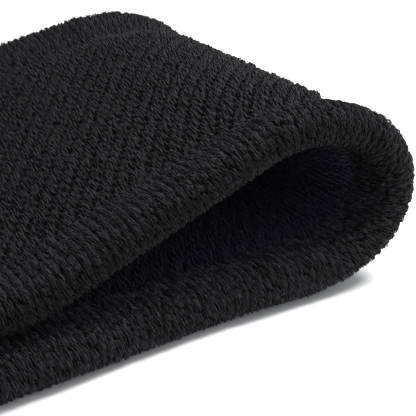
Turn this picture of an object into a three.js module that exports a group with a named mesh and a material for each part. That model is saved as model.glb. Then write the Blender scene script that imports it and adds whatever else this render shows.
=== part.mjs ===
// A double-walled terry wristband lying on its lower wall, millimetres, +Z up.
// The arm passes along Y. X runs across the flattened band: the closed crease is at -X
// and the open round bend at +X. The origin is the middle of the footprint, on the floor.
//
// The band is one knitted tube folded double, so the wall is a stack, from outside in:
// terry pile, ground knit, elastic thread, ground knit, terry pile.

import * as THREE from 'three';

// Overall sizes
const bandWidth = 84;           // across the flattened band, outside
const bandLength = 76;          // along the arm, over both rolled rims
const openHeight = 30;          // from the floor to the top of the open bend
const bendDepth = 19.5;         // how far the rounded nose of the open bend reaches back
const contactStretch = 3;       // along X, how far the two walls lie together beside the crease
const liftRadius = 45;          // of the gentle bend where the upper wall lifts off

// Wall build-up
const pileThickness = 1.4;      // terry loops
const groundThickness = 0.6;    // the knit that holds the loops
const elasticDiameter = 0.7;    // covered rubber thread between the two layers
const elasticPitch = 8;         // from one turn of a thread to its next
const rimReach = 9;             // from the mouth to where the rolled rim meets the walls
const rimSwell = 0.3;           // extra pile on a rolled rim
const seamWidth = 1.4;          // along the arm, the linked seam inside the band
const seamSink = 0.25;          // how far the seam lies below the pile around it

// Clearances
const touchGap = 0.3;           // between pieces that touch
const creaseGap = 0.6;          // between the facing walls at the crease

// Roundness
const noseSteps = 16;
const liftSteps = 4;
const creaseSteps = 8;
const rollSteps = 6;
const threadSides = 6;

// Offsets of the layers from the middle of the wall, the same on both sides of it
const groundInner = elasticDiameter / 2 + touchGap;
const groundOuter = groundInner + groundThickness;
const pileInner = groundOuter + touchGap;
const pileOuter = pileInner + pileThickness;
const rimHalf = pileOuter + rimSwell;

const mouth = bandLength / 2;
const rimEdge = mouth - rimReach;
const wallEdge = rimEdge - touchGap;
const seamHalf = seamWidth / 2;
const innerWallStart = seamHalf + touchGap;

const terryBlack = { color: 0x1b1b1d, roughness: 0.97, metalness: 0 };
const groundBlack = { color: 0x121214, roughness: 0.9, metalness: 0 };
const elasticGrey = { color: 0x2c2c30, roughness: 0.7, metalness: 0 };
const seamBlack = { color: 0x141416, roughness: 0.85, metalness: 0 };

// One station of the band's cross-section: a point on the middle of the wall,
// and the direction that points out of the band there.
function station(x, z, angle) {
  return { x, z, outX: Math.cos(angle), outZ: Math.sin(angle) };
}

// The cross-section's middle line, anticlockwise from the lower end of the nose.
// Flat lower wall, round nose, straight upper wall, gentle lift, short contact stretch, crease.
function wallStations() {
  const creaseRadius = rimHalf + creaseGap / 2;
  const creaseX = -bandWidth / 2 + rimHalf + creaseRadius;
  const contactZ = rimHalf + 2 * creaseRadius;
  const noseAcross = bendDepth - rimHalf;
  const noseUp = openHeight / 2 - rimHalf;
  const noseX = bandWidth / 2 - bendDepth;
  const noseZ = openHeight / 2;

  // The upper wall is the line that touches the nose's ellipse and the lift's circle,
  // found by halving the slope's range until the two tangents agree.
  const liftX = creaseX + contactStretch;
  const liftZ = contactZ + liftRadius;
  let low = 0;
  let high = Math.PI / 3;
  let slope = 0;
  for (let i = 0; i < 50; i += 1) {
    slope = (low + high) / 2;
    const normalX = -Math.sin(slope);
    const normalZ = Math.cos(slope);
    const noseSupport = Math.hypot(noseAcross * normalX, noseUp * normalZ);
    const noseLine = noseX * normalX + noseZ * normalZ + noseSupport;
    const liftLine = liftX * normalX + liftZ * normalZ - liftRadius;
    if (noseLine > liftLine) {
      low = slope;
    } else {
      high = slope;
    }
  }

  const stations = [];
  for (let i = 0; i <= noseSteps; i += 1) {
    const out = -Math.PI / 2 + (Math.PI + slope) * (i / noseSteps);
    const reach = Math.hypot(noseAcross * Math.cos(out), noseUp * Math.sin(out));
    const x = noseX + (noseAcross ** 2 * Math.cos(out)) / reach;
    const z = noseZ + (noseUp ** 2 * Math.sin(out)) / reach;
    stations.push(station(x, z, out));
  }
  for (let i = 0; i <= liftSteps; i += 1) {
    const out = Math.PI / 2 + slope * (1 - i / liftSteps);
    const x = liftX - liftRadius * Math.cos(out);
    const z = liftZ - liftRadius * Math.sin(out);
    stations.push(station(x, z, out));
  }
  for (let i = 0; i <= creaseSteps; i += 1) {
    const out = Math.PI / 2 + Math.PI * (i / creaseSteps);
    const x = creaseX + creaseRadius * Math.cos(out);
    const z = rimHalf + creaseRadius + creaseRadius * Math.sin(out);
    stations.push(station(x, z, out));
  }
  return stations;
}

const stations = wallStations();

// A point of the wall: which station, how far out from the wall's middle, and where along the arm.
function wallPoint(index, out, along) {
  const s = stations[index % stations.length];
  return new THREE.Vector3(s.x + s.outX * out, along, s.z + s.outZ * out);
}

// A closed ring with the given section, carried round the cross-section. The section is a list
// of [out, along] pairs, anticlockwise when out is drawn to the right and along is drawn up.
// It is made as a round lathed ring whose spokes are then moved to the stations.
function bandRing(section) {
  const lathedRadius = bandWidth;
  const profile = section.map(([out, along]) => new THREE.Vector2(lathedRadius + out, along));
  profile.reverse();
  profile.push(profile[0].clone());
  const geometry = new THREE.LatheGeometry(profile, stations.length);
  const position = geometry.getAttribute('position');
  for (let i = 0; i < position.count; i += 1) {
    const spoke = Math.floor(i / profile.length);
    const corner = profile[i % profile.length];
    const point = wallPoint(spoke, corner.x - lathedRadius, corner.y);
    position.setXYZ(i, point.x, point.y, point.z);
  }
  geometry.computeVertexNormals();
  return geometry;
}

// A flat layer of the wall between two offsets, and between two places along the arm.
function layerSection(inner, outer, from, to) {
  return [
    [inner, from],
    [outer, from],
    [outer, to],
    [inner, to],
  ];
}

// A layer folded round the end of the band: two legs joined by a half-round roll.
// side is -1 for the front mouth and +1 for the rear one.
function rolledSection(inner, outer, side) {
  const rollY = mouth - rimHalf;
  const section = [];
  for (let i = 0; i <= rollSteps; i += 1) {
    const turn = Math.PI / 2 - Math.PI * (i / rollSteps);
    section.push([outer * Math.sin(turn), side * (rollY + outer * Math.cos(turn))]);
  }
  section.push([-outer, side * rimEdge]);
  section.push([-inner, side * rimEdge]);
  for (let i = rollSteps; i >= 0; i -= 1) {
    const turn = Math.PI / 2 - Math.PI * (i / rollSteps);
    section.push([inner * Math.sin(turn), side * (rollY + inner * Math.cos(turn))]);
  }
  section.push([inner, side * rimEdge]);
  section.push([outer, side * rimEdge]);
  return side > 0 ? section : section.reverse();
}

// The linked seam that closes the folded tube, a low ridge with chamfered edges.
function seamSection() {
  const inner = -(pileOuter - seamSink);
  const outer = -groundInner;
  const chamfer = seamWidth / 4;
  return [
    [inner, -seamHalf + chamfer],
    [inner + chamfer, -seamHalf],
    [outer, -seamHalf],
    [outer, seamHalf],
    [inner + chamfer, seamHalf],
    [inner, seamHalf - chamfer],
  ];
}

// An elastic thread winds round the middle of the wall and advances one pitch a turn.
class WoundThread extends THREE.Curve {
  constructor(from, to) {
    super();
    this.from = from;
    this.steps = Math.floor(((to - from) / elasticPitch) * stations.length);
  }

  getPoint(t, target = new THREE.Vector3()) {
    const place = Math.min(Math.max(t, 0), 1) * this.steps;
    const before = Math.min(Math.floor(place), this.steps - 1);
    const advance = elasticPitch / stations.length;
    const start = wallPoint(before, 0, this.from + before * advance);
    const end = wallPoint(before + 1, 0, this.from + (before + 1) * advance);
    return target.copy(start).lerp(end, place - before);
  }

  // One step for each station, however far apart the stations lie
  getPointAt(u, target) {
    return this.getPoint(u, target);
  }

  getTangentAt(u, target) {
    return this.getTangent(u, target);
  }
}

function threadGeometry(from, to) {
  const path = new WoundThread(from, to);
  const corners = [];
  for (let i = 0; i < threadSides; i += 1) {
    const turn = (2 * Math.PI * i) / threadSides;
    const radius = elasticDiameter / 2;
    corners.push(new THREE.Vector2(radius * Math.cos(turn), radius * Math.sin(turn)));
  }
  return new THREE.ExtrudeGeometry(new THREE.Shape(corners), {
    steps: path.steps,
    extrudePath: path,
    bevelEnabled: false,
  });
}

const wristband = new THREE.Group();

function addPiece(name, geometry, finish) {
  const piece = new THREE.Mesh(geometry, new THREE.MeshStandardMaterial(finish));
  piece.name = name;
  wristband.add(piece);
}

// Outer wall, one stretch between the two rims
const outerPile = layerSection(pileInner, pileOuter, -wallEdge, wallEdge);
const outerGround = layerSection(groundInner, groundOuter, -wallEdge, wallEdge);
addPiece('outer_wall_pile', bandRing(outerPile), terryBlack);
addPiece('outer_wall_ground', bandRing(outerGround), groundBlack);

// Inner wall, in two halves that meet at the seam
for (const [half, from, to] of [
  ['front', -wallEdge, -innerWallStart],
  ['rear', innerWallStart, wallEdge],
]) {
  const pile = layerSection(-pileOuter, -pileInner, from, to);
  const ground = layerSection(-groundOuter, -groundInner, from, to);
  addPiece(`inner_wall_${half}_pile`, bandRing(pile), terryBlack);
  addPiece(`inner_wall_${half}_ground`, bandRing(ground), groundBlack);
}
addPiece('closing_seam_thread', bandRing(seamSection()), seamBlack);

// Rolled rims, where the tube folds back on itself
for (const [end, side] of [
  ['front', -1],
  ['rear', 1],
]) {
  const pile = rolledSection(pileInner, rimHalf, side);
  const ground = rolledSection(groundInner, groundOuter, side);
  addPiece(`${end}_rim_pile`, bandRing(pile), terryBlack);
  addPiece(`${end}_rim_ground`, bandRing(ground), groundBlack);
}

// Elastic threads, all in the middle of the wall. The outer wall's thread runs from rim to rim.
// The two inner ones run half a pitch out of step with it, so that they lie between its turns,
// and each keeps to its own side of the seam.
const threadEdge = wallEdge - elasticDiameter / 2;
const outerStart = -threadEdge;
const innerFrontStart = outerStart + elasticPitch / 2;
const turnsPastSeam = Math.ceil((seamHalf - innerFrontStart) / elasticPitch);
const innerRearStart = innerFrontStart + turnsPastSeam * elasticPitch;
for (const [name, from, to] of [
  ['outer_elastic_thread', outerStart, threadEdge],
  ['inner_front_elastic_thread', innerFrontStart, -seamHalf],
  ['inner_rear_elastic_thread', innerRearStart, threadEdge],
]) {
  addPiece(name, threadGeometry(from, to), elasticGrey);
}

export default wristband;
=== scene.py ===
"""A double-walled terry wristband, lying on its lower wall with its round bend open.

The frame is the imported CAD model. Sizes in this script are in millimetres, in the CAD frame,
and MM turns them into Blender's metres.
"""

import math

import bpy
import numpy as np
from mathutils import Matrix, Vector


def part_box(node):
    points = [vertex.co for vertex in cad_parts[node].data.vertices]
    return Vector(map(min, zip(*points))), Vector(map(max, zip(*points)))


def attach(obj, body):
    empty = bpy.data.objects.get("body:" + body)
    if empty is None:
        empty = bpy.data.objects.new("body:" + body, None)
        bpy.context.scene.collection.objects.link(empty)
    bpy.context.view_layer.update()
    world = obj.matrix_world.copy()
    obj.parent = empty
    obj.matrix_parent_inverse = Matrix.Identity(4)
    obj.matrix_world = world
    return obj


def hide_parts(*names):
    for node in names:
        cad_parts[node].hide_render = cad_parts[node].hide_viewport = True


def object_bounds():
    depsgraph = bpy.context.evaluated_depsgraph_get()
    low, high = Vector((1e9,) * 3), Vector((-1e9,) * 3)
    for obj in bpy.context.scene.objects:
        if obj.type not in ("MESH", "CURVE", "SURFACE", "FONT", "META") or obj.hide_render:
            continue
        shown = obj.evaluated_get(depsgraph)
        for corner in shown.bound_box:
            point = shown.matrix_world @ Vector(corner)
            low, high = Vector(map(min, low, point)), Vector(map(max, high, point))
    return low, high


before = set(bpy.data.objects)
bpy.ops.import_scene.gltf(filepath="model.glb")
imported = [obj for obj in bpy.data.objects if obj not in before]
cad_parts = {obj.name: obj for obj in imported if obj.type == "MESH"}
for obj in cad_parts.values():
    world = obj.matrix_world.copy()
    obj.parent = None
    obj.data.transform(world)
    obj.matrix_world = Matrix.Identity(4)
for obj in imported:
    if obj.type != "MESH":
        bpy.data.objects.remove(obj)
cad_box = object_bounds()

MM = 0.001
BODY = "root"
rng = np.random.default_rng(20)

# ---------------------------------------------------------------- sizes, in millimetres

cad_size = (cad_box[1] - cad_box[0]) / MM
band_width = cad_size.x
band_length = cad_size.y
open_height = cad_size.z
rim_low, rim_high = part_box("front_rim_pile")
rim_reach = (rim_high - rim_low).y / MM

BEND_DEPTH = 19.5        # how far the rounded nose of the open bend reaches back
CONTACT_STRETCH = 3.0    # along X, how far the two walls lie together beside the crease
LIFT_RADIUS = 45.0       # of the gentle bend where the upper wall lifts off
RIM_HALF = 3.25          # half of the wall at a rolled rim, over the pile
CREASE_GAP = 0.6         # between the facing walls at the crease
BACKING = 2.05           # from the middle of the wall to the face of the ground knit
PILE = RIM_HALF - BACKING

WALES = 174              # columns of loops round the band
COURSE = 1.27            # from one row of loops to the next
BAND_REPEAT = 3          # in a row, one loop in so many lies down; the next row's is one column on
RIM_SLANT_UPPER = -0.16  # how far rim strands lean round the band, for each millimetre along
RIM_SLANT_LOWER = -0.32
INNER_STEP = 1.2         # from row to row on the inner wall, as a share of the outer wall's
ROOT_HEIGHT = -0.3       # where filaments start and end, from the face of the ground knit
GROUND_RIB = 0.06        # height of the ground knit's ribs
GROUND_ROWS = 260
SEAM_HALF = 1.0          # from the middle of the seam to the inner wall's loops and threads
SEAM_OFF_MIDDLE = 0.05   # from there to the middle of the stitches
SEAM_RISE = 0.6          # of the stitches, as a share of the pile

ELASTIC_PITCH = 8.0      # from one turn of an elastic thread to its next
ELASTIC_DIAMETER = 0.7
ELASTIC_HEIGHT = -1.55   # of the middle of a thread, from the face of the ground knit

# How the band lies: what its soft wall does beyond the CAD model's plain shape
WAIST = 0.65             # how far the outer face sinks at mid-length
GROOVE = 1.55            # how far it sinks beside a rolled rim
GROOVE_AT = 10.5         # from the mouth to the middle of that groove
GROOVE_WIDTH = 5.0
GROOVE_LEAST = 0.08      # the share of the groove that is left by the crease
GROOVE_FADE = (-14, 20)  # along X, where it grows from that share to the whole
LEAN = 5.6               # how far the rear end lies towards +X
FRONT_SKEW = 0.34        # how far the front mouth slants back at the bend
FRONT_BOW = -0.23        # and how its corners lie forward of its middle
REAR_SKEW = -1.66        # how far the rear mouth slants forward at the bend
REAR_LIFT = 3.2          # the upper wall bulges up at its rear end
REAR_SINK = 0.4          # where the bend is a little lower than at the front
NOSE_SWELL = 0.8         # the front end of the bend stands out a little
LIP_REACH = 3.1          # the front lip of the lower wall lies forward beside the crease
LIP_LIFT = 0.4           # and curls up a little towards the bend
CREST_LIFT = 0.15        # the front rim stands up a little on top of the bend
SQUASHED = 0.45          # above the floor, how far up the pile is pressed together


# ---------------------------------------------------------------- the wall's surface

HALVINGS = 50            # of the slope's range
NOSE_POINTS = 400
LIFT_POINTS = 100
CREASE_POINTS = 200
SAME_POINT = 1e-6        # points closer than this are one point


def cross_section():
    """The wall's middle line, anticlockwise from the lower end of the nose: arrays of the distance
    along it, x, z, and the angle of the direction that points out of the band."""
    crease_radius = RIM_HALF + CREASE_GAP / 2
    crease_x = -band_width / 2 + RIM_HALF + crease_radius
    contact_z = RIM_HALF + 2 * crease_radius
    nose_across = BEND_DEPTH - RIM_HALF
    nose_up = open_height / 2 - RIM_HALF
    nose_x = band_width / 2 - BEND_DEPTH
    nose_z = open_height / 2
    lift_x = crease_x + CONTACT_STRETCH
    lift_z = contact_z + LIFT_RADIUS

    # The upper wall is the line that touches the nose's ellipse and the lift's circle
    low = 0.0
    high = math.pi / 3
    for _ in range(HALVINGS):
        slope = (low + high) / 2
        normal_x = -math.sin(slope)
        normal_z = math.cos(slope)
        nose_support = math.hypot(nose_across * normal_x, nose_up * normal_z)
        nose_line = nose_x * normal_x + nose_z * normal_z + nose_support
        lift_line = lift_x * normal_x + lift_z * normal_z - LIFT_RADIUS
        if nose_line > lift_line:
            low = slope
        else:
            high = slope

    nose = np.linspace(-math.pi / 2, math.pi / 2 + slope, NOSE_POINTS)
    reach = np.hypot(nose_across * np.cos(nose), nose_up * np.sin(nose))
    nose_points = (nose_x + nose_across**2 * np.cos(nose) / reach,
                   nose_z + nose_up**2 * np.sin(nose) / reach)
    lift = np.linspace(math.pi / 2 + slope, math.pi / 2, LIFT_POINTS)
    lift_points = (lift_x - LIFT_RADIUS * np.cos(lift), lift_z - LIFT_RADIUS * np.sin(lift))
    crease = np.linspace(math.pi / 2, 3 * math.pi / 2, CREASE_POINTS)
    crease_points = (crease_x + crease_radius * np.cos(crease),
                     RIM_HALF + crease_radius * (1 + np.sin(crease)))

    x = np.concatenate([nose_points[0], lift_points[0], crease_points[0], nose_points[0][:1]])
    z = np.concatenate([nose_points[1], lift_points[1], crease_points[1], nose_points[1][:1]])
    angle = np.concatenate([nose, lift, crease, [3 * math.pi / 2]])
    distance = np.concatenate([[0], np.cumsum(np.hypot(np.diff(x), np.diff(z)))])
    apart = np.concatenate([[True], np.diff(distance) > SAME_POINT])
    return distance[apart], x[apart], z[apart], angle[apart]


LINE, LINE_X, LINE_Z, LINE_ANGLE = cross_section()
GIRTH = LINE[-1]

# Places along the folded fabric, from the middle of the outer wall
ROLL_START = band_length / 2 - RIM_HALF
ROLL_END = ROLL_START + math.pi * RIM_HALF
FABRIC_END = ROLL_END + ROLL_START
RIM_START = band_length / 2 - rim_reach
RIM_END = ROLL_END + ROLL_START - RIM_START


def place(around, along, height):
    """Points of the band, in millimetres, as an array with a last axis of 3.
    around: along the wall's middle line. along: over the folded fabric, from the middle of the
    outer wall, positive over the front rim and into the band. height: above the ground knit."""
    around = np.asarray(around, float) % GIRTH
    side = np.sign(along)
    reach = np.abs(along)
    x = np.interp(around, LINE, LINE_X)
    z = np.interp(around, LINE, LINE_Z)
    angle = np.interp(around, LINE, LINE_ANGLE)

    turn = np.clip((reach - ROLL_START) / RIM_HALF, 0, math.pi)
    from_middle = BACKING + height
    out = from_middle * np.cos(turn)
    y = np.minimum(reach, ROLL_START) + from_middle * np.sin(turn)
    y = y - np.maximum(reach - ROLL_END, 0)
    outer_side = np.clip((ROLL_START - reach) / GROOVE_WIDTH, 0, 1)
    groove = np.exp(-((band_length / 2 - GROOVE_AT - reach) / GROOVE_WIDTH) ** 2)
    groove = groove * (GROOVE_LEAST + (1 - GROOVE_LEAST) * smooth_step(x, *GROOVE_FADE))
    out = out - outer_side * (WAIST * (1 - (reach / ROLL_START) ** 2) + GROOVE * groove)
    y = -side * y

    x = x + out * np.cos(angle)
    z = z + out * np.sin(angle)
    return lie(x, y, z, np.sin(angle) / 2 + 0.5)


def smooth_step(value, start, end):
    """0 up to start, 1 from end on, and an even rise between them."""
    share = np.clip((value - start) / (end - start), 0, 1)
    return share * share * (3 - 2 * share)


def lie(x, y, z, upper):
    """Where the points go when the band lies on the floor. upper: 1 on the upper wall, 0 on the
    lower. across runs from -1 at the crease to 1 at the bend, and the shares after it say how much
    of a change each place across the band takes."""
    frontness = np.clip(0.5 - y / band_length, 0, 1)
    rearness = 1 - frontness
    across = x / (band_width / 2)
    by_crease = smooth_step(-across, -0.2, 0.75)
    by_middle = smooth_step(-across, -0.5, 0.1)
    by_bend = smooth_step(across, -0.1, 0.4) * smooth_step(-across, -1.0, -0.6)
    y = y + frontness * (FRONT_SKEW * across + FRONT_BOW * (across**2 - 1 / 3))
    y = y + rearness * REAR_SKEW * across
    y = y - LIP_REACH * frontness**2 * by_crease * (1 - upper)
    z = z + LIP_LIFT * frontness**4 * by_bend * (1 - upper)
    z = z + rearness**2 * upper * (REAR_LIFT * by_middle - REAR_SINK * (1 - by_middle))
    z = np.where(z < SQUASHED, SQUASHED * np.exp((z - SQUASHED) / SQUASHED), z)
    z = z + CREST_LIFT * frontness**4 * upper * smooth_step(across, 0.1, 0.6)
    x = x + LEAN * rearness + NOSE_SWELL * frontness**4 * smooth_step(across, 0.5, 1.0)
    return np.stack([x, y, z], axis=-1)


# ---------------------------------------------------------------- meshes

FILAMENT_SIDES = 4       # of a filament's cross-section
THREAD_SIDES = 8         # of an elastic thread's
BAKE_MARGIN = 0.12       # round each strand's cell of the bake map, as a share of the cell
FIBRE_SHIFT = 7.31       # of the yarn map from strand to strand, so that their fibres differ
FIBRE_SPAN = 97.0        # where that shift starts again
LITTLE_WAY = 0.2         # up from a strand, to find which way is out of the wall
SHORTEST = 1e-12         # length that a direction is worked out from
MOST_TRIANGLES = 190000  # in one piece


def unit(vectors):
    lengths = np.linalg.norm(vectors, axis=-1, keepdims=True)
    return vectors / np.maximum(lengths, SHORTEST)


def mesh_object(name, points, faces, maps, tone=None):
    """A smooth mesh of quads. points: in millimetres; maps: UV layers, one pair for each corner;
    tone: how light the yarn is at each point."""
    mesh = bpy.data.meshes.new(name)
    mesh.vertices.add(len(points))
    mesh.vertices.foreach_set("co", (points * MM).astype(np.float32).ravel())
    mesh.loops.add(faces.size)
    mesh.loops.foreach_set("vertex_index", faces.astype(np.int32).ravel())
    mesh.polygons.add(len(faces))
    mesh.polygons.foreach_set("loop_start", np.arange(0, faces.size, 4, dtype=np.int32))
    mesh.update(calc_edges=True)
    mesh.polygons.foreach_set("use_smooth", np.ones(len(faces), bool))
    for layer, corners in maps.items():
        mesh.uv_layers.new(name=layer).data.foreach_set("uv", corners.astype(np.float32).ravel())
    if tone is not None:
        tones = mesh.attributes.new("tone", "FLOAT", "POINT")
        tones.data.foreach_set("value", tone.astype(np.float32))
    mesh.validate()
    piece = bpy.data.objects.new(name, mesh)
    bpy.context.scene.collection.objects.link(piece)
    return piece


def strand_mesh(name, around, along, height, radius, tone, sides=FILAMENT_SIDES):
    """Closed yarn tubes, one for each row of around, along, height and radius, which have a value
    for each ring of corners. tone: one for each tube."""
    count, rings = around.shape
    centre = place(around, along, height)
    lifted = place(around, along, height + LITTLE_WAY)
    tangent = unit(np.gradient(centre, axis=1))
    across = unit(np.cross(tangent, lifted - centre))
    up = np.cross(across, tangent)
    turn = (np.arange(sides) + 0.5) * 2 * math.pi / sides
    offset = (np.cos(turn)[None, None, :, None] * across[:, :, None, :]
              + np.sin(turn)[None, None, :, None] * up[:, :, None, :])
    points = centre[:, :, None, :] + radius[:, :, None, None] * offset

    ring, side = np.meshgrid(np.arange(rings - 1), np.arange(sides), indexing="ij")
    after = (side + 1) % sides
    this_ring = ring * sides
    next_ring = this_ring + sides
    wall = np.stack([this_ring + side, this_ring + after, next_ring + after, next_ring + side], axis=-1)
    wall = wall.reshape(-1, 4)

    # Each end is closed with quads that fan out from its first corner
    first = np.arange(1, sides - 1, 2)
    far_end = np.stack([first * 0, first, first + 1, first + 2], axis=-1)
    near_end = far_end[:, ::-1]
    one = np.concatenate([wall, near_end, far_end + (rings - 1) * sides])
    faces = (one[None] + (np.arange(count) * rings * sides)[:, None, None]).reshape(-1, 4)

    # One small cell of the bake map for each strand, and a map that runs along the yarn
    wall_u = np.stack([side, side + 1, side + 1, side], -1).reshape(-1, 4)
    wall_v = np.stack([ring, ring, ring + 1, ring + 1], -1).reshape(-1, 4)
    corner_u = np.concatenate([wall_u, near_end, far_end]) / sides
    corner_v = np.concatenate([wall_v, near_end * 0, far_end * 0 + rings - 1]) / (rings - 1)
    cells = math.ceil(math.sqrt(count))
    index = np.arange(count)[:, None, None]
    inside = 1 - 2 * BAKE_MARGIN
    bake_u = (index % cells + BAKE_MARGIN + inside * corner_u[None]) / cells
    bake_v = (index // cells + BAKE_MARGIN + inside * corner_v[None]) / cells
    yarn_u = np.broadcast_to(corner_u[None], bake_u.shape)
    yarn_v = corner_v[None] + FIBRE_SHIFT * index % FIBRE_SPAN
    maps = {
        "OFBake": np.stack([bake_u, bake_v], -1).reshape(-1, 2),
        "yarn": np.stack([yarn_u, yarn_v], -1).reshape(-1, 2),
    }
    tones = np.repeat(tone, rings * sides)
    return mesh_object(name, points.reshape(-1, 3), faces, maps, tones)


def strand_pieces(name, around, along, height, radius, tone):
    """The strands as a few pieces, cut round the band, each small enough to export whole."""
    count, rings = around.shape
    quads = (rings - 1) * FILAMENT_SIDES + FILAMENT_SIDES - 2
    parts = math.ceil(count * quads * 2 / MOST_TRIANGLES)
    order = np.argsort(around[:, rings // 2], kind="stable")
    pieces = []
    for number, chosen in enumerate(np.array_split(order, parts), start=1):
        label = f"{name}_{number}" if parts > 1 else name
        pieces.append(strand_mesh(label, around[chosen], along[chosen], height[chosen],
                                  radius[chosen], tone[chosen]))
    return pieces


# ---------------------------------------------------------------- yarn

WAVES = 24               # that add up to a random field over the fabric

# How much the middles of the outer wall's loops and the rims' strands stray, and the pile's height
LOOP_STRAY_AROUND = 0.05
LOOP_STRAY_ALONG = 0.10
RIM_STRAY_AROUND = 0.08
RIM_STRAY_ALONG = 0.2    # as a share of the step from row to row
UNEVEN_PILE = 0.05       # as a share of the pile

# How much filaments stray, and how a loop that lies down opens
PLACE_STRAY = 0.16       # sideways, as a share of the space between filaments
MIDDLE_STRAY = 0.10      # along, as a share of the loop's length
LENGTH_STRAY = 0.12
LEAN_STRAY = 0.08        # sideways for each millimetre along
BOW_STRAY = 0.06
THICKNESS_STRAY = 0.10
THIN_END = 0.70          # the thickness at the ends, as a share of that in the middle
PARTING = 0.3            # of filaments that lie down, as a share of the space between them
PROPPED = 0.7            # how much less the outer filaments of such a loop lie down
LYING_PAINTED_SHADE = 0.35       # how much darker such a loop is painted: painted shade where it lies low
PATCH_SIZE = 4.0         # of the paler and darker patches
PATCH_SHARE = 0.5        # how much these differ, as a share of the filaments' mottle
DARKEST = 0.35
PALEST = 2.0


def patches(around, along, size):
    """A smooth random field over the fabric, about 0 with a spread of 1. size: of its patches."""
    total = np.zeros(np.shape(around))
    most_round = GIRTH / size
    for _ in range(WAVES):
        waves_round = round(rng.uniform(-most_round, most_round))
        waves_along = rng.uniform(-1, 1) / size
        phase = rng.uniform(0, 1)
        turns = waves_round * around / GIRTH + waves_along * along + phase
        total = total + np.cos(2 * math.pi * turns)
    return total / math.sqrt(WAVES / 2)


def loops(around, along, length, rise, lane, yarn, sunk=0.0, slant=0.0, roundness=0.22,
          flatness=2.6, uneven=0.07, mottle=0.24, rings=7):
    """Terry loops, each a bundle of filaments side by side, which start and end in the ground knit.

    around, along: the loops' middles; length: from end to end; rise: how high each arches;
    lane: the filaments' places across the bundle; yarn: half of a filament's thickness;
    sunk: how far each loop's middle filaments lie down, from 0 to 1;
    slant: how far round the band it leans for each millimetre along;
    roundness: how much lower the outer filaments are;
    flatness: 2 for a round arch, more for a flatter top;
    uneven, mottle: how much the filaments' heights and tones differ;
    rings: of corners along a filament."""
    step = np.sin(np.linspace(-1, 1, rings) * math.pi / 2)
    shape = (len(around), len(lane))
    pitch = lane[1] - lane[0]
    off_middle = np.abs(lane) / np.abs(lane).max()
    sunk = np.broadcast_to(sunk, len(around))[:, None]
    slant = np.broadcast_to(slant, len(around))[:, None]

    # One value for each filament of each loop
    across = lane[None] + rng.normal(0, PLACE_STRAY * pitch, shape)
    across = across + np.sign(lane)[None] * PARTING * pitch * sunk
    middle = along[:, None] + rng.normal(0, MIDDLE_STRAY * length, shape)
    half = length / 2 * (1 + rng.normal(0, LENGTH_STRAY, shape))
    top = rise[:, None] * (1 + rng.normal(0, uneven, shape)) * (1 - roundness * off_middle**2)[None]
    top = top * (1 - sunk * (1 - PROPPED * off_middle**2)[None])
    drift = (slant + rng.normal(0, LEAN_STRAY, shape)) * length / 2
    bow = rng.normal(0, BOW_STRAY, shape) * length / 2
    thickness = yarn * (1 + rng.normal(0, THICKNESS_STRAY, shape))
    patch = patches(around, along, PATCH_SIZE)[:, None]
    tone = rng.normal(1, mottle, shape) + PATCH_SHARE * mottle * patch

    # One row for each filament, with a value for each ring along it
    middle, half, start, drift, bow, top, thickness = (
        values.reshape(-1, 1)
        for values in (middle, half, around[:, None] + across, drift, bow, top, thickness))
    strand_around = start + drift * step + bow * (1 - step**2)
    strand_along = middle + half * step
    height = ROOT_HEIGHT + (top - ROOT_HEIGHT) * (1 - np.abs(step) ** flatness)
    radius = thickness * (THIN_END + (1 - THIN_END) * (1 - step**4))
    return strand_around, strand_along, height, radius, np.clip(tone, DARKEST, PALEST).reshape(-1)


def lattice(columns, first, last, step):
    """Indices of a grid of loops: columns round the band, and rows a step apart along it."""
    rows = math.ceil((last - first) / step)
    wale, course = np.meshgrid(np.arange(columns), np.arange(rows), indexing="ij")
    return wale.ravel(), course.ravel()


def lanes(count, apart):
    """Places of filaments side by side, about the middle of their loop."""
    return (np.arange(count) - (count - 1) / 2) * apart


def outer_wall_loops():
    """Short loops in rows. Those that lie down make darker bands slantwise across the band: they lie
    lower, and they are painted darker as painted shade.
    """
    wale, course = lattice(WALES, -RIM_START, RIM_START, COURSE)
    count = len(wale)
    lies_down = (course - wale) % BAND_REPEAT == 0
    far_down = rng.uniform(low=0.6, high=1.0, size=count)
    hardly_down = rng.uniform(low=0.0, high=0.15, size=count)
    sunk = np.where(lies_down, far_down, hardly_down)
    around = wale * GIRTH / WALES + rng.normal(0, LOOP_STRAY_AROUND, count)
    along = -RIM_START + (course + 0.5) * COURSE + rng.normal(0, LOOP_STRAY_ALONG, count)
    swell = rng.normal(loc=0.92, scale=0.04, size=count)
    rise = PILE * (swell + UNEVEN_PILE * patches(around, along, size=5.0))
    lane = lanes(4, apart=0.25)
    around, along, height, radius, tone = loops(
        around, along, length=1.7, rise=rise, lane=lane, yarn=0.115, sunk=sunk, mottle=0.18)
    # Painted shade: loops that lie down are painted darker
    darker = LYING_PAINTED_SHADE * np.repeat(lies_down, len(lane))
    return around, along, height, radius, tone * (1 - darker)


# The two layers of strands over a rolled rim: a close one, and a looser and finer one over it.
# yarn: half of a strand's thickness; low, high: how high they rise, as shares of the pile;
# shade: how pale they are beside the outer wall's loops; this is painted light and shade: the close
# layer, under the fine one, is painted darker as painted shade, and the fine one on top is painted
# paler as a painted highlight
CLOSE_RIM_STRANDS = {
    "columns": 174, "filaments": 3, "step": 1.5, "length": 2.3, "low": 0.84, "high": 0.90,
    "yarn": 0.140, "shade": 0.55, "rings": 5,
}
FINE_RIM_STRANDS = {
    "columns": 130, "filaments": 8, "step": 1.30, "length": 2.1, "low": 0.95, "high": 1.00,
    "yarn": 0.072, "shade": 1.25, "rings": 7,
}
RIM_STAGGER = 3          # the rows step along, and line up again after so many columns
RIM_FILLED = 0.9         # the share of a column's width that its filaments are set out over
SHADE_PAINTED_FROM = 1.0          # along, from the start of the roll to where the painted shade on its face begins
SHADE_PAINTED_TO = 6.0            # and to where that painted shade is darkest
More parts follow.
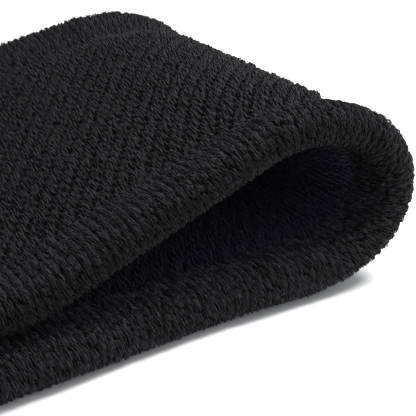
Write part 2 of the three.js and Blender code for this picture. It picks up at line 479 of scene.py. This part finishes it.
SHADE_PAINTED = 0.5               # how much darker the upper rim's face is painted there: painted shade where it faces down and forward
PALE_BEFORE = 3.0        # along, from where the lower rim begins to be painted paler, as painted light, to the roll's end
PALE = 2.4               # how much paler it is painted, as painted light, where it meets the inner wall


def rim_strands(side, layer):
    """Long strands over a rolled rim. side: 1 for the front one, -1 for the rear one."""
    pitch = GIRTH / layer["columns"]
    step = layer["step"]
    wale, course = lattice(layer["columns"], RIM_START, RIM_END, step)
    count = len(wale)
    around = wale * pitch + rng.normal(0, RIM_STRAY_AROUND, count)
    stagger = (wale % RIM_STAGGER) / RIM_STAGGER
    along = RIM_START + (course + stagger) * step + rng.normal(0, RIM_STRAY_ALONG * step, count)
    swell = rng.uniform(layer["low"], layer["high"], count)
    rise = PILE * (swell + UNEVEN_PILE * patches(around, along, size=4.0))
    upper = 0.5 + 0.5 * np.sin(np.interp(around % GIRTH, LINE, LINE_ANGLE))
    slant = RIM_SLANT_UPPER * upper + RIM_SLANT_LOWER * (1 - upper)
    lane = lanes(layer["filaments"], apart=RIM_FILLED * pitch / layer["filaments"])
    around, along, height, radius, tone = loops(
        around, along, layer["length"], rise, lane, layer["yarn"], slant=slant, roundness=0.26,
        flatness=3.0, uneven=0.035, mottle=0.45, rings=layer["rings"])

    # Painted shade: the face of the upper rim, which faces down and forward, is painted darker. Painted
    # light: the lower rim is painted paler inside, towards the inner wall
    upper = np.repeat(upper, layer["filaments"])
    reach = along.mean(axis=1)
    face = smooth_step(reach, ROLL_START + SHADE_PAINTED_FROM, ROLL_START + SHADE_PAINTED_TO)
    inside = smooth_step(reach, ROLL_END - PALE_BEFORE, RIM_END)
    # Painted shade on the upper rim's face and painted light inside the lower rim, times the layer's
    # painted shade
    shade = layer["shade"] * (1 - SHADE_PAINTED * face * upper) * (1 + PALE * inside * (1 - upper))
    return around, side * along, height, radius, tone * shade


def inner_wall_loops(side):
    """Longer, thicker and more even loops, from a rim to the seam. side: as for rim_strands."""
    step = COURSE * INNER_STEP
    wale, course = lattice(WALES, RIM_END, FABRIC_END - SEAM_HALF, step)
    sunk = np.where((course - wale) % BAND_REPEAT == 0, 0.25, 0.0)
    rise = PILE * rng.normal(loc=0.9, scale=0.03, size=len(wale))
    around = wale * GIRTH / WALES
    along = RIM_END + (course + 0.5) * step
    around, along, height, radius, tone = loops(
        around, along, length=2.4, rise=rise, lane=lanes(3, apart=0.33), yarn=0.17, sunk=sunk,
        roundness=0.26, uneven=0.03, mottle=0.04, rings=5)
    return around, side * along, height, radius, tone


def seam_stitches():
    """Stitches across the seam that closes the folded tube, two for each column of loops."""
    stitches = np.arange(WALES * 2)
    around = stitches * GIRTH / len(stitches)
    along = np.full(len(stitches), FABRIC_END - SEAM_OFF_MIDDLE)
    rise = np.full(len(stitches), PILE * SEAM_RISE)
    return loops(around, along, length=2.2, rise=rise, lane=lanes(2, apart=0.25), yarn=0.15)


def elastic_thread(name, first, last):
    """A covered rubber thread that winds round inside the wall, from one place along the folded
    fabric to another, one pitch further on with each turn."""
    rings = round(abs(last - first) / ELASTIC_PITCH * WALES)
    along = np.linspace(first, last, rings)[None]
    around = np.abs(along - first) / ELASTIC_PITCH * GIRTH
    height = np.full_like(along, ELASTIC_HEIGHT)
    radius = np.full_like(along, ELASTIC_DIAMETER / 2)
    return strand_mesh(name, around, along, height, radius, np.ones(1), sides=THREAD_SIDES)


def ground_knit():
    """The knitted ground under the loops, one closed skin: outer wall, rims, inner wall, seam."""
    columns = WALES * 2
    rows = GROUND_ROWS
    along = np.linspace(-FABRIC_END, FABRIC_END, rows, endpoint=False)
    around = np.arange(columns) * GIRTH / columns
    u, v = np.meshgrid(around, along, indexing="ij")
    height = GROUND_RIB * np.cos(2 * math.pi * u * WALES / GIRTH)
    points = place(u, v, height).reshape(-1, 3)
    i, j = np.meshgrid(np.arange(columns), np.arange(rows), indexing="ij")
    i_next = (i + 1) % columns
    j_next = (j + 1) % rows
    faces = np.stack([i * rows + j, i * rows + j_next, i_next * rows + j_next, i_next * rows + j], -1)
    corner_u = np.stack([i, i, i + 1, i + 1], -1) / columns
    corner_v = np.stack([j, j + 1, j + 1, j], -1) / rows
    maps = {
        "OFBake": np.stack([corner_u, corner_v], -1).reshape(-1, 2),
        "yarn": np.stack([corner_u * WALES, corner_v * rows], -1).reshape(-1, 2),
    }
    return mesh_object("ground_knit", points, faces.reshape(-1, 4), maps)


# ---------------------------------------------------------------- materials

def new_material(name):
    material = bpy.data.materials.new(name)
    material.use_nodes = True
    nodes = material.node_tree.nodes
    return material, nodes, material.node_tree.links, nodes["Principled BSDF"]


def set_inputs(node, values):
    for socket, value in values.items():
        node.inputs[socket].default_value = value


def wave_on_yarn(nodes, links, values):
    """A wave pattern laid out by the yarn map."""
    yarn = nodes.new("ShaderNodeUVMap")
    yarn.uv_map = "yarn"
    wave = nodes.new("ShaderNodeTexWave")
    set_inputs(wave, values)
    links.new(yarn.outputs["UV"], wave.inputs["Vector"])
    return wave


def in_range(nodes, links, value, low, high):
    """A value from 0 to 1 turned into one from low to high."""
    turned = nodes.new("ShaderNodeMapRange")
    set_inputs(turned, {"To Min": low, "To Max": high})
    links.new(value, turned.inputs["Value"])
    return turned.outputs["Result"]


def dye(nodes, links, shader, colour, shade):
    """Gives the shader a colour that the shade makes lighter or darker."""
    dyed = nodes.new("ShaderNodeVectorMath")
    dyed.operation = "SCALE"
    dyed.inputs[0].default_value = colour
    links.new(shade, dyed.inputs["Scale"])
    links.new(dyed.outputs["Vector"], shader.inputs["Base Color"])


def yarn_material(name, colour, brightness):
    """Dark spun yarn: fibres that wind round the strand, and each strand a little lighter or darker."""
    material, nodes, links, shader = new_material(name)
    set_inputs(shader, {
        "Roughness": 0.5,
        "Specular IOR Level": 0.12,
        "Sheen Weight": 0.03,
        "Sheen Roughness": 0.4,
        "Sheen Tint": (0.8, 0.82, 0.9, 1),
    })
    fibres = wave_on_yarn(nodes, links, {"Scale": 4.0, "Distortion": 2.0, "Detail": 2.0})
    fibres.bands_direction = "DIAGONAL"

    tone = nodes.new("ShaderNodeAttribute")
    tone.attribute_name = "tone"
    together = nodes.new("ShaderNodeMath")
    together.operation = "MULTIPLY"
    links.new(tone.outputs["Fac"], together.inputs[0])
    links.new(in_range(nodes, links, fibres.outputs["Fac"], low=0.75, high=1.2), together.inputs[1])
    dye(nodes, links, shader, [part * brightness for part in colour], together.outputs["Value"])

    bump = nodes.new("ShaderNodeBump")
    set_inputs(bump, {"Strength": 0.5, "Distance": 0.03 * MM})
    links.new(fibres.outputs["Fac"], bump.inputs["Height"])
    links.new(bump.outputs["Normal"], shader.inputs["Normal"])
    return material


def ground_material():
    """The ground knit's small stitches, seen between the loops."""
    material, nodes, links, shader = new_material("ground_knit")
    set_inputs(shader, {"Roughness": 0.9, "Specular IOR Level": 0.2})
    wales = wave_on_yarn(nodes, links, {"Scale": 0.5, "Distortion": 1.0})
    shade = in_range(nodes, links, wales.outputs["Fac"], low=0.5, high=1.0)
    dye(nodes, links, shader, (0.010, 0.010, 0.011), shade)
    return material


# ---------------------------------------------------------------- the band

def carry(piece, material, slot, *nodes):
    """Gives a piece its material and its place in the frame."""
    piece.data.materials.append(material)
    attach(piece, BODY)
    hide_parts(*nodes)


CHARCOAL = (1.0, 0.99, 1.09)
# Painted shade: a bluish tint painted into the inner walls' yarn for the dim bluish light inside the
# mouth
MOUTH_SHADE_BLUE = (1.0, 0.94, 1.40)
terry = yarn_material("terry_yarn", CHARCOAL, brightness=0.0122)
# Painted light: the inner walls' yarn is the outer wall's yarn, painted about three times paler, for
# the light seen inside the mouth
inner_terry = yarn_material("inner_terry_yarn", MOUTH_SHADE_BLUE, brightness=0.037)
seam_yarn = yarn_material("seam_yarn", CHARCOAL, brightness=0.010)
elastic_yarn = yarn_material("elastic_covering", CHARCOAL, brightness=0.025)

for piece in strand_pieces("outer_wall_loops", *outer_wall_loops()):
    carry(piece, terry, "terry_pile", "outer_wall_pile")
for end, side in (("front", 1), ("rear", -1)):
    for kind, layer in (("close", CLOSE_RIM_STRANDS), ("fine", FINE_RIM_STRANDS)):
        for piece in strand_pieces(f"{end}_rim_{kind}_strands", *rim_strands(side, layer)):
            carry(piece, terry, "terry_pile", f"{end}_rim_pile")
    for piece in strand_pieces(f"inner_{end}_loops", *inner_wall_loops(side)):
        carry(piece, inner_terry, "terry_pile", f"inner_wall_{end}_pile")
for piece in strand_pieces("closing_seam", *seam_stitches()):
    carry(piece, seam_yarn, "seam_thread", "closing_seam_thread")
carry(ground_knit(), ground_material(), "ground_knit", "outer_wall_ground",
      "inner_wall_front_ground", "inner_wall_rear_ground", "front_rim_ground", "rear_rim_ground")
for name, first, last in (
    ("outer_elastic", RIM_START, -RIM_START),
    ("inner_front_elastic", RIM_END, FABRIC_END - SEAM_HALF),
    ("inner_rear_elastic", -RIM_END, SEAM_HALF - FABRIC_END),
):
    carry(elastic_thread(name, first, last), elastic_yarn, "elastic_thread", f"{name}_thread")


# ---------------------------------------------------------------- floor, light and camera

LIT_POINT = Vector((0, 0, 20))  # that the lamps face
FLOOR_HALF = 3000               # half of its side


def floor():
    half = FLOOR_HALF * MM
    mesh = bpy.data.meshes.new("floor")
    corners = [(-half, -half, 0), (half, -half, 0), (half, half, 0), (-half, half, 0)]
    mesh.from_pydata(corners, [], [(0, 1, 2, 3)])
    plane = bpy.data.objects.new("floor", mesh)
    bpy.context.scene.collection.objects.link(plane)
    material, _, _, shader = new_material("pale_floor")
    set_inputs(shader, {"Base Color": (0.92, 0.92, 0.92, 1), "Roughness": 0.9})
    mesh.materials.append(material)


def surroundings():
    world = bpy.data.worlds.new("pale_studio")
    world.use_nodes = True
    background = world.node_tree.nodes["Background"]
    set_inputs(background, {"Color": (0.92, 0.94, 1.0, 1), "Strength": 0.8})
    bpy.context.scene.world = world


def soft_light(name, centre, size, power):
    """A round lamp that faces the band. power: in watts."""
    data = bpy.data.lights.new(name, "AREA")
    data.shape = "DISK"
    data.size = size * MM
    data.energy = power
    lamp = bpy.data.objects.new(name, data)
    lamp.location = Vector(centre) * MM
    lamp.rotation_mode = "QUATERNION"
    lamp.rotation_quaternion = (Vector(centre) - LIT_POINT).to_track_quat("Z", "Y")
    bpy.context.scene.collection.objects.link(lamp)


def camera():
    """The photograph's view: the camera stands back from a point over the front mouth."""
    azimuth = math.radians(-33.17)
    elevation = math.radians(21.60)
    roll = math.radians(-0.13)
    distance = 167.9 * MM
    target = Vector((3.78, -band_length / 2, 19.59)) * MM
    back = Vector((math.sin(azimuth) * math.cos(elevation),
                   -math.cos(azimuth) * math.cos(elevation), math.sin(elevation)))
    data = bpy.data.cameras.new("camera")
    data.sensor_width = 36.0
    data.lens = 108.6
    data.clip_start = 10 * MM
    data.clip_end = 20_000 * MM
    eye = bpy.data.objects.new("camera", data)
    turn = (-back).to_track_quat("-Z", "Y").to_matrix() @ Matrix.Rotation(roll, 3, "Z")
    eye.matrix_world = Matrix.Translation(target + back * distance) @ turn.to_4x4()
    bpy.context.scene.collection.objects.link(eye)
    bpy.context.scene.camera = eye


floor()
surroundings()
soft_light("key", centre=(160, -60, 260), size=150, power=1.2)
soft_light("front_fill", centre=(100, -800, 350), size=600, power=0.5)
camera()
bpy.context.scene.view_settings.view_transform = "Standard"
